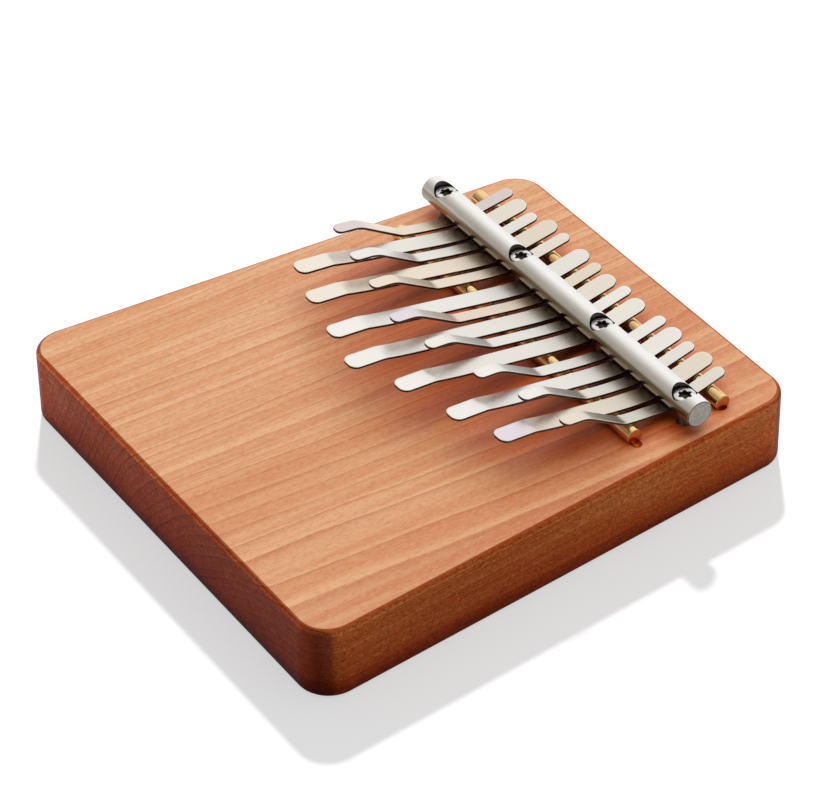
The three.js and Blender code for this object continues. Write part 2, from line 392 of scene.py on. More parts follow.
class Nodes:
    """A node tree, and short names for the nodes in it."""

    def __init__(self, tree):
        self.nodes = tree.nodes
        self.links = tree.links
        self.nodes.clear()
        self.coordinates = self.nodes.new("ShaderNodeTexCoord")

    def put(self, socket, value):
        """Links a socket or sets a constant."""
        if isinstance(value, bpy.types.NodeSocket):
            self.links.new(value, socket)
        else:
            socket.default_value = value

    def scaled(self, x, y, z, offset=(0, 0, 0), source="Object"):
        """Object coordinates times a scale, in units per metre."""
        node = self.nodes.new("ShaderNodeMapping")
        self.links.new(self.coordinates.outputs[source], node.inputs["Vector"])
        node.inputs["Scale"].default_value = (x, y, z)
        node.inputs["Location"].default_value = offset
        return node.outputs["Vector"]

    def noise(self, vector, detail=2.0, roughness=0.5):
        node = self.nodes.new("ShaderNodeTexNoise")
        self.put(node.inputs["Vector"], vector)
        node.inputs["Scale"].default_value = 1.0
        node.inputs["Detail"].default_value = detail
        node.inputs["Roughness"].default_value = roughness
        return node.outputs["Fac"]

    def voronoi(self, vector):
        node = self.nodes.new("ShaderNodeTexVoronoi")
        self.put(node.inputs["Vector"], vector)
        node.inputs["Scale"].default_value = 1.0
        return node.outputs["Distance"]

    def random(self, value):
        """A random number from 0 to 1 for each value."""
        node = self.nodes.new("ShaderNodeTexWhiteNoise")
        node.noise_dimensions = "1D"
        self.put(node.inputs["W"], value)
        return node.outputs["Value"]

    def math(self, operation, a, b=0.0, c=0.0):
        node = self.nodes.new("ShaderNodeMath")
        node.operation = operation
        for socket, value in zip(node.inputs, (a, b, c)):
            self.put(socket, value)
        return node.outputs["Value"]

    def times(self, a, b):
        return self.math("MULTIPLY", a, b)

    def wavered(self, value, noise, width):
        """The value moved either way by a noise, over a width."""
        return self.math("MULTIPLY_ADD", self.math("SUBTRACT", noise, 0.5), width, value)

    def distance(self, a, b):
        """How far the point (a, b) is from the origin."""
        return self.math("SQRT", self.math("ADD", self.times(a, a), self.times(b, b)))

    def step(self, value, low, high, out_low=0.0, out_high=1.0):
        """A smooth change from out_low to out_high as value goes from low to high."""
        node = self.nodes.new("ShaderNodeMapRange")
        node.interpolation_type = "SMOOTHSTEP"
        self.put(node.inputs["Value"], value)
        node.inputs["From Min"].default_value = low
        node.inputs["From Max"].default_value = high
        node.inputs["To Min"].default_value = out_low
        node.inputs["To Max"].default_value = out_high
        return node.outputs["Result"]

    def openness(self, distance):
        """How much of the surroundings within this distance is open, from 0 to 1."""
        node = self.nodes.new("ShaderNodeAmbientOcclusion")
        node.samples = OPENNESS_SAMPLES
        node.inputs["Distance"].default_value = distance
        return node.outputs["AO"]

    def axes(self, vector):
        node = self.nodes.new("ShaderNodeSeparateXYZ")
        self.links.new(vector, node.inputs["Vector"])
        return [node.outputs[axis] for axis in "XYZ"]

    def vector(self, x, y, z):
        node = self.nodes.new("ShaderNodeCombineXYZ")
        for axis, value in zip("XYZ", (x, y, z)):
            self.put(node.inputs[axis], value)
        return node.outputs["Vector"]

    def ramp(self, factor, stops):
        """A colour ramp through (position, (red, green, blue)) stops."""
        node = self.nodes.new("ShaderNodeValToRGB")
        elements = node.color_ramp.elements
        while len(elements) < len(stops):
            elements.new(1.0)
        for element, (position, color) in zip(elements, stops):
            element.position = position
            element.color = (*color, 1.0)
        self.put(node.inputs["Fac"], factor)
        return node.outputs["Color"]

    def mix(self, factor, a, b, blend="MIX"):
        """Two colours mixed. The colour sockets share their names with others, so they go by number."""
        node = self.nodes.new("ShaderNodeMix")
        node.data_type = "RGBA"
        node.blend_type = blend
        self.put(node.inputs["Factor"], factor)
        for socket, value in zip((node.inputs[6], node.inputs[7]), (a, b)):
            self.put(socket, (*value, 1.0) if isinstance(value, tuple) else value)
        return node.outputs[2]

    def toned(self, color, factor, tone):
        """The colour, multiplied by a tone as far as the factor says."""
        return self.mix(factor, color, self.mix(1.0, color, tone, "MULTIPLY"))

    def bump(self, height, strength, distance):
        node = self.nodes.new("ShaderNodeBump")
        node.inputs["Strength"].default_value = strength
        node.inputs["Distance"].default_value = distance
        self.put(node.inputs["Height"], height)
        return node.outputs["Normal"]


class Shader(Nodes):
    """A material with a Principled shader."""

    def __init__(self, name, metallic, roughness, specular=0.5):
        self.material = bpy.data.materials.new(name)
        self.material.use_nodes = True
        super().__init__(self.material.node_tree)
        output = self.nodes.new("ShaderNodeOutputMaterial")
        self.principled = self.nodes.new("ShaderNodeBsdfPrincipled")
        self.links.new(self.principled.outputs["BSDF"], output.inputs["Surface"])
        self.principled.inputs["Metallic"].default_value = metallic
        self.principled.inputs["Roughness"].default_value = roughness
        self.principled.inputs["Specular IOR Level"].default_value = specular

    def set(self, name, value):
        self.put(self.principled.inputs[name], value)


def growth_rings(s, x, z):
    """Dark late wood at the end of each ring, and pale early wood at the start of the next."""
    across = s.wavered(x, s.noise(s.scaled(11, 4, 11), detail=1.5), RING_SWAY)
    across = s.wavered(across, s.noise(s.scaled(55, 15, 55, (3, 1, 7)), detail=2), RING_WANDER)
    across = s.wavered(across, s.noise(s.scaled(500, 60, 500, (9, 2, 4)), detail=2), RING_SHIVER)
    radius = s.distance(s.math("SUBTRACT", across, PITH_X), s.math("ADD", z, PITH_DEPTH))
    uneven = s.noise(s.vector(s.times(radius, 0.10), 0.0, 0.0), detail=2)
    rings = s.math("ADD", s.times(radius, RINGS_PER_MM), s.times(uneven, RING_UNEVENNESS))
    phase = s.math("FRACT", rings)
    number = s.math("FLOOR", rings)
    late = s.times(s.math("POWER", phase, LATE_SHARPNESS), s.step(phase, 0.955, 1.0, 1.0, 0.0))
    late = s.times(late, s.math("MULTIPLY_ADD", s.random(number), 0.6, 0.4))
    early = s.times(s.step(phase, 0.0, 0.26, 1.0, 0.0), s.random(s.math("ADD", number, 0.5)))
    return late, early


def cherry(name, specular):
    """Oiled cherry with rings, fibres and flecks. Its sides are darker, partly in their own colour and
    partly with painted shade, painted shade darkens its corners, hollows, foot and right part, and painted
    light and highlight mark its rounded edges.
    """
    s = Shader(name, metallic=0, roughness=0.45, specular=specular)
    x, y, z = s.axes(s.scaled(1 / MM, 1 / MM, 1 / MM))
    late, early = growth_rings(s, x, z)
    fibre = s.noise(s.scaled(3600, 150, 3600), detail=2, roughness=0.6)
    fleck = s.noise(s.scaled(2400, 640, 2400, (3, 3, 3)), detail=2.5, roughness=0.6)
    streak = s.noise(s.scaled(260, 6, 260, (5, 5, 1)), detail=3, roughness=0.5)
    patch = s.noise(s.scaled(26, 8, 26, (2, 8, 3)), detail=2)
    pore = s.step(s.voronoi(s.scaled(2600, 420, 2600)), 0.06, 0.26, 1.0, 0.0)

    color = s.ramp(patch, PATCH_COLORS)
    figure = [
        (s.step(streak, 0.42, 0.68, 0.0, 0.62), PALE_STREAK),
        (s.step(streak, 0.56, 0.34, 0.0, 0.42), RED_STREAK),
        (s.times(early, 0.75), EARLY_WOOD),
        (late, LATE_WOOD),
        (s.step(fleck, 0.50, 0.70, 0.0, 0.50), DARK_FLECK),
        (s.step(fleck, 0.50, 0.32, 0.0, 0.40), PALE_FLECK),
        (s.step(fibre, 0.46, 0.72, 0.0, 0.15), DARK_FIBRE),
        (s.times(pore, 0.24), DARK_PORE),
    ]
    for factor, tint in figure:
        color = s.mix(factor, color, tint)

    # The long sides face X and the end grain faces Y. Painted shade darkens the sides towards the foot.
    ny, nz = s.axes(s.coordinates.outputs["Normal"])[1:]
    turned = s.math("ABSOLUTE", ny)
    steep = s.math("ABSOLUTE", nz)
    sides = s.step(steep, 0.92, 0.80)
    ends = s.step(turned, 0.45, 0.95)
    long_tone_and_shade = s.mix(s.step(y, -60.0, 90.0), SIDE_TONE_AND_SHADE_FRONT, SIDE_TONE_AND_SHADE_BACK)
    speckle = s.noise(s.scaled(1500, 900, 1900, (7, 1, 2)), detail=3, roughness=0.65)
    foot = s.math("MULTIPLY_ADD", streak, 2.0, z)

    # Painted shade darkens the corners, more so at the right, and the rounded edge of the long sides, and
    # painted light brightens the rounded edge of the ends. On the long sides, a painted highlight line runs
    # along the foot of the rounded edge.
    corner = s.times(s.step(turned, 0.28, 0.52), s.step(turned, 0.94, 0.74))
    corner = s.times(corner, s.step(x, -40.0, 40.0, 0.65, 1.0))
    rounded = s.times(s.step(nz, 0.16, 0.62), s.step(nz, 0.995, 0.95))
    edge_highlight = s.times(s.step(nz, 0.03, 0.09), s.step(nz, 0.24, 0.15))

    # Painted shade: close under the tines and in the grooves, the more shut in the wood is, the deeper and
    # redder it is made, and darkest where it is most shut in.
    openness = s.openness(OPENNESS_REACH)
    tones = [
        # Painted shade: the wood is darker and warmer towards the right.
        (s.step(x, -62.0, 10.0), RIGHT_SHADE_TONE),
        (s.step(openness, *COVERED_SHADE_SPAN), COVERED_SHADE_TONE),
        (s.step(openness, *SHUT_SHADE_SPAN), SHUT_SHADE_TONE),
        # The sides and ends are darker and redder than the top, partly in their own colour and partly with
        # painted shade, most at the front of the long sides.
        (s.step(steep, 0.995, 0.95), s.mix(ends, long_tone_and_shade, END_TONE_AND_SHADE)),
        (s.times(sides, s.step(speckle, 0.52, 0.68)), DARK_SPECKLE),
        (s.times(sides, s.step(speckle, 0.48, 0.32)), PALE_SPECKLE),
        # Painted shade towards the foot of the sides.
        (s.times(sides, s.step(foot, 8.6, 1.6)), FOOT_SHADE_TONE),
        (s.times(sides, s.step(foot, 18.0, 5.0)), LOWER_SHADE_TONE),
        # Painted shade on the ends towards the right, and painted light towards the left.
        (s.times(ends, s.step(x, -30.0, 76.0)), END_RIGHT_SHADE_TONE),
        (s.times(ends, s.step(x, -40.0, -78.0)), END_LEFT_LIGHT_TONE),
        (s.times(ends, late), END_RING_TONE),
        # Painted shade in the corners.
        (s.times(sides, corner), CORNER_SHADE_TONE),
        # Painted shade on the long sides' rounded edge, and painted light on the ends' rounded edge.
        (rounded, s.mix(ends, SIDE_EDGE_SHADE_TONE, END_EDGE_LIGHT_TONE)),
        # Painted highlight along the foot of the long sides' rounded edge.
        (edge_highlight, s.mix(ends, EDGE_HIGHLIGHT_TONE, WHITE)),
    ]
    for factor, tone in tones:
        color = s.toned(color, factor, tone)
    s.set("Base Color", color)

    s.set("Roughness", s.step(fibre, 0.3, 0.8, 0.40, 0.56))
    grain = s.math("ADD", s.times(fibre, 0.5), s.times(pore, -0.7))
    grain = s.math("ADD", grain, s.times(late, 0.25))
    s.set("Normal", s.bump(grain, 0.22, 0.12 * MM))
    return s.material


def bar_steel():
    """Satin bar stock, drawn lengthwise, so its shine smears round the bar, with painted shade: browner and
    darker on its lower side, near black underneath.
    """
    s = Shader("bar_satin", metallic=1, roughness=0.34)
    drawn = s.noise(s.scaled(25, 3800, 3800), detail=2, roughness=0.6)
    cloud = s.noise(s.scaled(110, 300, 300, (4, 4, 4)), detail=4, roughness=0.6)
    color = s.ramp(cloud, [
        (0.30, (0.885, 0.875, 0.845)),
        (0.55, (0.920, 0.912, 0.885)),
        (0.75, (0.945, 0.938, 0.912)),
    ])
    down = s.axes(s.coordinates.outputs["Normal"])[2]
    color = s.mix(s.step(drawn, 0.42, 0.70, 0.0, 0.16), color, (0.55, 0.54, 0.50))
    # Painted shade: browner and darker where the bar faces down, near black underneath.
    color = s.mix(s.step(down, 0.54, 0.32), color, (0.34, 0.27, 0.19))
    s.set("Base Color", s.mix(s.step(down, -0.20, -0.50), color, (0.14, 0.105, 0.07)))
    polish = s.step(down, -0.10, 0.30, 0.45, 1.0)
    s.set("Roughness", s.times(s.step(cloud, 0.3, 0.75, 0.31, 0.38), polish))
    s.set("Anisotropic", 0.7)
    tangent = s.nodes.new("ShaderNodeTangent")
    tangent.direction_type = "RADIAL"
    tangent.axis = "X"
    s.links.new(tangent.outputs["Tangent"], s.principled.inputs["Tangent"])
    s.set("Normal", s.bump(drawn, 0.03, 0.01 * MM))
    return s.material


def bar_end_steel(centre):
    """The faced end of the bar: grey, with concentric tool marks."""
    s = Shader("bar_faced_end", metallic=1, roughness=0.4)
    y, z = s.axes(s.scaled(1, 1, 1))[1:]
    radius = s.distance(s.math("SUBTRACT", y, centre.y), s.math("SUBTRACT", z, centre.z))
    marks = s.noise(s.vector(s.times(radius, 5200.0), 0.0, 0.0), detail=2)
    blotch = s.noise(s.scaled(900, 900, 900), detail=3)
    tone = s.math("ADD", s.times(marks, 0.5), s.times(blotch, 0.5))
    s.set("Base Color", s.ramp(tone, [
        (0.35, (0.20, 0.185, 0.16)),
        (0.50, (0.29, 0.27, 0.24)),
        (0.66, (0.40, 0.38, 0.35)),
    ]))
    s.set("Roughness", s.step(blotch, 0.3, 0.7, 0.36, 0.5))
    s.set("Normal", s.bump(marks, 0.25, 0.05 * MM))
    return s.material


def bore_shade_steel():
    """Walls of the bar's counterbores, made nearly black with painted shade."""
    s = Shader("bar_bore_shade", metallic=1, roughness=0.4)
    haze = s.noise(s.scaled(900, 900, 2400), detail=3)
    s.set("Base Color", s.ramp(haze, [(0.35, (0.035, 0.032, 0.028)), (0.65, (0.13, 0.12, 0.11))]))
    s.set("Roughness", s.step(haze, 0.3, 0.7, 0.3, 0.5))
    return s.material


def brass():
    """Drawn brass rod: warm gold with faint draw lines along it and a little tarnish, and a painted
    reflection of the wood on its end faces.
    """
    s = Shader("brass_rod", metallic=1, roughness=0.2)
    drawn = s.noise(s.scaled(60, 5200, 5200), detail=2)
    tarnish = s.noise(s.scaled(160, 420, 420, (7, 1, 2)), detail=4, roughness=0.6)
    color = s.ramp(tarnish, [
        (0.25, (0.740, 0.450, 0.165)),
        (0.50, (0.830, 0.580, 0.260)),
        (0.75, (0.880, 0.660, 0.340)),
    ])
    faced = s.step(s.math("ABSOLUTE", s.axes(s.coordinates.outputs["Normal"])[0]), 0.75, 0.95)
    # Painted reflection of the wood: the end faces are darker and redder.
    s.set("Base Color", s.mix(faced, color, (0.52, 0.235, 0.085)))
    s.set("Roughness", s.step(tarnish, 0.3, 0.7, 0.18, 0.12))
    s.set("Normal", s.bump(drawn, 0.02, 0.01 * MM))
    return s.material


def screw_steel():
    """Plated screw: bright, with dark specks and small dents round the socket."""
    s = Shader("screw_plated", metallic=1, roughness=0.22)
    speck = s.noise(s.scaled(1500, 1500, 1500), detail=3, roughness=0.65)
    haze = s.noise(s.scaled(500, 500, 500, (3, 6, 1)), detail=3)
    clean = s.ramp(haze, [(0.35, (0.62, 0.61, 0.60)), (0.65, (0.80, 0.79, 0.78))])
    dirt = s.step(speck, 0.60, 0.68)
    s.set("Base Color", s.mix(dirt, clean, (0.10, 0.085, 0.075)))
    s.set("Roughness", s.step(haze, 0.3, 0.7, 0.34, 0.2))
    s.set("Normal", s.bump(speck, 0.25, 0.12 * MM))
    return s.material


def shaded_screw_steel():
    """Driver sockets and screw threads, made dark with painted shade."""
    s = Shader("screw_shaded", metallic=1, roughness=0.45)
    haze = s.noise(s.scaled(1400, 1400, 1400), detail=3)
    s.set("Base Color", s.ramp(haze, [(0.3, (0.060, 0.048, 0.037)), (0.7, (0.20, 0.165, 0.13))]))
    s.set("Roughness", s.step(haze, 0.3, 0.7, 0.35, 0.6))
    return s.material


def spring_steel(number, tail, middle, tip):
    """Satin spring steel with a faint heat tint, which changes towards each end of the tine."""
    s = Shader(f"spring_steel_{number:02d}", metallic=1, roughness=0.3)
    along = s.axes(s.scaled(1, 1, 1, source="Generated"))[1]
    sheen = s.noise(s.scaled(90, 60, 90, (number, 5, 2)), detail=3, roughness=0.55)
    grain = s.noise(s.scaled(4200, 4200, 4200), detail=2, roughness=0.6)
    rolled = s.noise(s.scaled(2600, 90, 2600, (2, 2, 2)), detail=2, roughness=0.6)
    edge = s.wavered(along, sheen, 0.16)
    color = s.mix(s.step(edge, 0.08, 0.24, 1.0, 0.0), middle, tip)
    color = s.mix(s.step(edge, 0.72, 0.84), color, tail)
    color = s.mix(s.step(sheen, 0.60, 0.38, 0.0, 0.06), color, (0.60, 0.58, 0.55))
    s.set("Base Color", s.mix(s.step(grain, 0.45, 0.78, 0.0, 0.05), color, (0.60, 0.59, 0.57)))
    s.set("Roughness", s.step(rolled, 0.3, 0.7, 0.27, 0.33))
    s.set("Normal", s.bump(rolled, 0.02, 0.01 * MM))
    return s.material


def edge_shade_steel():
    """Cut sides of the tines, with painted shade that makes them much darker than their faces."""
    s = Shader("spring_steel_edge_shade", metallic=1, roughness=0.5)
    marks = s.noise(s.scaled(700, 2600, 700), detail=2)
    s.set("Base Color", s.ramp(marks, [(0.3, (0.030, 0.024, 0.020)), (0.7, (0.090, 0.076, 0.065))]))
    s.set("Roughness", s.step(marks, 0.3, 0.7, 0.42, 0.6))
    return s.material


def paint(piece, slot, *materials):
    """Gives the piece its materials. The slot is not used."""
    piece.data.materials.clear()
    for material in materials:
        piece.data.materials.append(material)


# Board

def board_outline(inset, length):
    """Plan outline at a distance inside the board's edge, with rounded corners."""
    taper = (BOARD_FRONT_WIDTH - BOARD_BACK_WIDTH) / 2 / length
    narrowing = inset * math.hypot(1, taper)
    y = length / 2 - inset
    middle = (BOARD_FRONT_WIDTH + BOARD_BACK_WIDTH) / 4
    front = middle + taper * y - narrowing
    back = middle - taper * y - narrowing
    corners = [Vector((front, -y)), Vector((back, y)), Vector((-back, y)), Vector((-front, -y))]
    radius = BOARD_CORNER - inset
    points = []
    for i, corner in enumerate(corners):
        before = (corners[i - 1] - corner).normalized()
        after = (corners[(i + 1) % 4] - corner).normalized()
        half = before.angle(after) / 2
        centre = corner + (before + after).normalized() * (radius / math.sin(half))
        spoke = corner + before * (radius / math.tan(half)) - centre
        for k in range(CORNER_STEPS + 1):
            points.append(centre + Matrix.Rotation((math.pi - 2 * half) * k / CORNER_STEPS, 2) @ spoke)
    return points


def make_board():
    """The board with rounded edges, two grooves and four pilot holes."""
    low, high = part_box("board")
    edge = rounding(BOARD_ROUNDOVER, ROUNDOVER_STEPS)
    levels = [(inset, low.z + rise) for inset, rise in edge]
    levels += [(inset, high.z - rise) for inset, rise in reversed(edge)]
    outlines = []
    for inset, z in levels:
        outlines.append([(*point, z) for point in board_outline(inset, high.y - low.y)])
    board = loft("board_cherry", outlines)
    cutters = [groove_cutter(rod) for rod in RODS]
    for screw in SCREWS:
        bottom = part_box(screw)[0].z - CUTTER_OVERRUN
        top = high.z + CUTTER_OVERRUN
        hole = [(0, bottom), (PILOT_RADIUS, bottom), (PILOT_RADIUS, top), (0, top)]
        cutters.append(lathe("hole", hole, axis_of(screw), HOLE_STEPS))
    smooth(cut(board, cutters), CORNERED)
    paint(board, "cherry", cherry("cherry_top", 0.9), cherry("cherry_sides", 0.04))
    for face in board.data.polygons:
        face.material_index = int(abs(face.normal.z) < FLAT_FACING)
    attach(board, "body")
    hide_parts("board")


def groove_cutter(rod):
    """A capsule a little thicker and longer than its rod."""
    low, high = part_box(rod)
    radius = (high.y - low.y) / 2 + GROOVE_CLEARANCE
    half = (high.x - low.x) / 2 + GROOVE_OVERRUN[rod] - radius
    profile = [(radius * math.cos(a), -half + radius * math.sin(a)) for a in arc(-90, 0, GROOVE_END_STEPS)]
    profile += [(radius * math.cos(a), half + radius * math.sin(a)) for a in arc(0, 90, GROOVE_END_STEPS)]
    profile[0] = (0, profile[0][1])
    profile[-1] = (0, profile[-1][1])
    return lathe("groove", profile, centre_of(rod), GROOVE_STEPS, "X")


# Bar, rods and screws

def bar_profile(node, edge, steps):
    """Round bar of a node's size along X, with rounded ends, as (radius, distance from the middle)."""
    low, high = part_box(node)
    radius = (high.y - low.y) / 2
    half = (high.x - low.x) / 2
    profile = [(0, -half)]
    profile += [(radius - inset, -half + rise) for inset, rise in rounding(edge, steps)]
    return profile + [(r, -h) for r, h in reversed(profile)]


def bar_normal(centre, radius, screws):
    """The rule for the exact normal of a point on the bar's skin or on the wall of a hole in it."""
    def rule(point, flat):
        out = Vector((0, point.y - centre.y, point.z - centre.z))
        if abs(out.length - radius) < radius * NEAR_SKIN and out.normalized().dot(flat) > ALIGNED:
            return out.normalized()
        if abs(flat.z) < UPRIGHT and abs(flat.x) < END_FACING:
            nearest = min(screws, key=lambda screw: abs(screw.x - point.x))
            inwards = Vector((nearest.x - point.x, nearest.y - point.y, 0)).normalized()
            if inwards.dot(flat) > ALIGNED:
                return inwards
        return flat.copy()
    return rule


def set_normals(piece, rule):
    """Gives each face corner the normal that rule(point, face normal) returns."""
    mesh = piece.data
    mesh.shade_smooth()
    normals = [None] * len(mesh.loops)
    for face in mesh.polygons:
        for corner in face.loop_indices:
            point = mesh.vertices[mesh.loops[corner].vertex_index].co
            normals[corner] = rule(point, face.normal)
    mesh.normals_split_custom_set(normals)


def make_bar():
    """The bar with a counterbored hole for each screw."""
    low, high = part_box("pressure_bar")
    centre = centre_of("pressure_bar")
    radius = (high.y - low.y) / 2
    profile = bar_profile("pressure_bar", BAR_CHAMFER, BAR_EDGE_STEPS)
    bar = lathe("pressure_bar_satin", profile, centre, BAR_STEPS, "X")
    cutters = []
    for screw in SCREWS:
        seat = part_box(screw)[1].z - HEAD_HEIGHT
        top = high.z + CUTTER_OVERRUN
        bottom = low.z - CUTTER_OVERRUN
        hole = [
            (0, bottom), (SHANK_HOLE_RADIUS, bottom), (SHANK_HOLE_RADIUS, seat),
            (COUNTERBORE_RADIUS, seat), (COUNTERBORE_RADIUS, top), (0, top),
        ]
        cutters.append(lathe("counterbore", hole, axis_of(screw), COUNTERBORE_STEPS))
    cut(bar, cutters)
    set_normals(bar, bar_normal(centre, radius, [centre_of(screw) for screw in SCREWS]))
    paint(bar, "bar_metal", bar_steel(), bar_end_steel(centre), bore_shade_steel())
    for face in bar.data.polygons:
        from_axis = Vector((0, face.center.y - centre.y, face.center.z - centre.z))
        if abs(face.normal.x) > END_FACING:
            face.material_index = 1
        elif from_axis.length < radius * SKIN or from_axis.normalized().dot(face.normal) < SKIN_FACING:
            face.material_index = 2
    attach(bar, "body")
    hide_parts("pressure_bar")


def make_rod(rod, material):
    profile = bar_profile(rod, ROD_EDGE, ROD_EDGE_STEPS)
    piece = smooth(lathe(f"{rod}_brass", profile, centre_of(rod), ROD_STEPS, "X"), ROUNDED)
    paint(piece, "brass", material)
    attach(piece, "body")
    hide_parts(rod)


def lobed(axis, waist, outer, z, turn):
    """A ring of the six-lobed socket outline, turned by an angle in degrees."""
    points = []
    for i in range(SCREW_STEPS):
        angle = 2 * math.pi * i / SCREW_STEPS
        radius = (outer + waist) / 2 + (outer - waist) / 2 * math.cos(6 * (angle - math.radians(turn)))
        points.append(axis + Vector((radius * math.cos(angle), radius * math.sin(angle), z)))
    return points


def threaded(axis, z):
    """A ring of the screw thread at a height: its ridge climbs one pitch in each turn."""
    points = []
    for i in range(SCREW_STEPS):
        turn = (z / THREAD_PITCH - i / SCREW_STEPS) % 1
        radius = SHANK_RADIUS - THREAD_DEPTH * abs(2 * turn - 1)
        angle = 2 * math.pi * i / SCREW_STEPS
        points.append(axis + Vector((radius * math.cos(angle), radius * math.sin(angle), z)))
    return points


def make_screw(screw, materials):
    """A threaded screw with a cylinder head and a six-lobed socket, as rings from its point up."""
    low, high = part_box(screw)
    axis = axis_of(screw)
    radius = (high.x - low.x) / 2
    seat = high.z - HEAD_HEIGHT
    rings = [circle(axis, 0, low.z, 1), circle(axis, POINT_RADIUS, low.z, SCREW_STEPS)]
    threads = (seat - low.z - THREAD_START - THREAD_END) / THREAD_PITCH
    for k in range(int(threads * RINGS_PER_TURN) + 1):
        rings.append(threaded(axis, low.z + THREAD_START + k * THREAD_PITCH / RINGS_PER_TURN))
    rings.append(circle(axis, SHANK_RADIUS, seat, SCREW_STEPS))
    rings.append(circle(axis, radius - HEAD_FOOT_EDGE, seat, SCREW_STEPS))
    rings.append(circle(axis, radius, seat + HEAD_FOOT_EDGE, SCREW_STEPS))
    for inset, drop in reversed(rounding(HEAD_EDGE, HEAD_EDGE_STEPS)):
        rings.append(circle(axis, radius - inset, high.z - drop, SCREW_STEPS))
    for widening, depth in ((LOBE_CHAMFER, 0), (0, LOBE_CHAMFER), (0, LOBE_DEPTH)):
        ring = (LOBE_WAIST + widening, LOBE_RADIUS + widening, high.z - depth, SOCKET_TURNS[screw])
        rings.append(lobed(axis, *ring))
    rings.append(circle(axis, 0, high.z - LOBE_DEPTH - SOCKET_CONE, 1))
    piece = loft(f"{screw}_plated", rings)
    paint(piece, "screw_steel", *materials)
    # The socket and the thread take the painted shade.
    for face in piece.data.polygons:
        inside = (face.center - axis).xy.length < LOBE_RADIUS
        face.material_index = int(inside and face.center.z < high.z - LOBE_CHAMFER)
    smooth(piece, CORNERED)
    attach(piece, "body")
    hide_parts(screw)


# Tines

def bend(distance, half):
    """Integral of a slope that grows from 0 to 1 between -half and half."""
    if distance <= -half:
        return 0.0
    if distance >= half:
        return distance
    return (distance + half) ** 2 / (4 * half)


def bend_slope(distance, half):
    """A slope that grows from 0 to 1 between -half and half."""
    return min(max((distance + half) / (2 * half), 0.0), 1.0)


def tine_side(tip, lift, narrow):
    """Height and slope of a tine's top at a given y, for a tine with its tip at y = tip."""
    bar_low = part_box("pressure_bar")[0]
    bar = centre_of("pressure_bar")
    front, rear = centre_of("rod_front"), centre_of("rod_rear")
    front_top, rear_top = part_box("rod_front")[1].z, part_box("rod_rear")[1].z
    above = TINE_THICKNESS + TOUCH
    crest = (front_top - front.z) * (math.hypot(1, BRIDGE_SLOPE) - 1)
    front_z = front_top + crest + above * math.hypot(1, BRIDGE_SLOPE)
    rear_z = rear_top + crest + above * math.hypot(1, BRIDGE_SLOPE)
    corner_y = front.y + BRIDGE_BEND
    corner_z = front_z - BRIDGE_SLOPE * BRIDGE_BEND
    dip = bar_low.z - TOUCH
    for _ in range(DIP_ROUNDS):
        rear_slope = (rear_z - dip) / (rear.y - bar.y)
        span_slope = (corner_z - dip) / (bar.y - corner_y)
        dip = bar_low.z - TOUCH - (rear_slope + span_slope) * BAR_BEND_HALF / 4
    extra_slope = lift / (front.y - tip)
    bends = [
        (bar.y, rear_slope + span_slope, BAR_BEND_HALF),
        (corner_y, BRIDGE_SLOPE - span_slope, BRIDGE_BEND_HALF),
        (front.y, extra_slope, BRIDGE_BEND_HALF),
    ]
    if narrow:
        ramp_y = min(tip + RAMP_START, front.y - RAMP_LIMIT)
        bends.append((ramp_y, RAMP_SLOPE - BRIDGE_SLOPE, RAMP_HALF))
        bends.append((tip + RAMP_END, LANDING_SLOPE - RAMP_SLOPE, RAMP_END_HALF))
    else:
        bends.append((tip + SHOULDER_START, SHOULDER_SLOPE - BRIDGE_SLOPE, SHOULDER_HALF))
        bends.append((tip + SHOULDER_END, LANDING_SLOPE - SHOULDER_SLOPE, SHOULDER_END_HALF))

    def side(y):
        height = dip - rear_slope * (bar.y - y)
        slope = -rear_slope
        for corner, change, half in bends:
            height += change * bend(corner - y, half)
            slope += change * bend_slope(corner - y, half)
        return height, slope
    return side


def tine_plan(tip, tail, width, inset):
    """Right half of the plan outline, from tail to tip, as (sideways, y)."""
    half = width / 2
    tail_round, tip_round = half * TAIL_ROUNDING, half * TIP_ROUNDING
    points = []
    for a in arc(90, 0, TINE_END_STEPS):
        reach = tail_round - inset
        points.append((half - tail_round + reach * math.cos(a), tail - tail_round + reach * math.sin(a)))
    start, end = tail - tail_round, tip + tip_round
    steps = round((start - end) / STATION)
    points += [(half - inset, start + (end - start) * i / steps) for i in range(1, steps)]
    for a in arc(0, -90, TINE_END_STEPS):
        reach = tip_round - inset
        points.append((half - tip_round + reach * math.cos(a), end + reach * math.sin(a)))
    return points


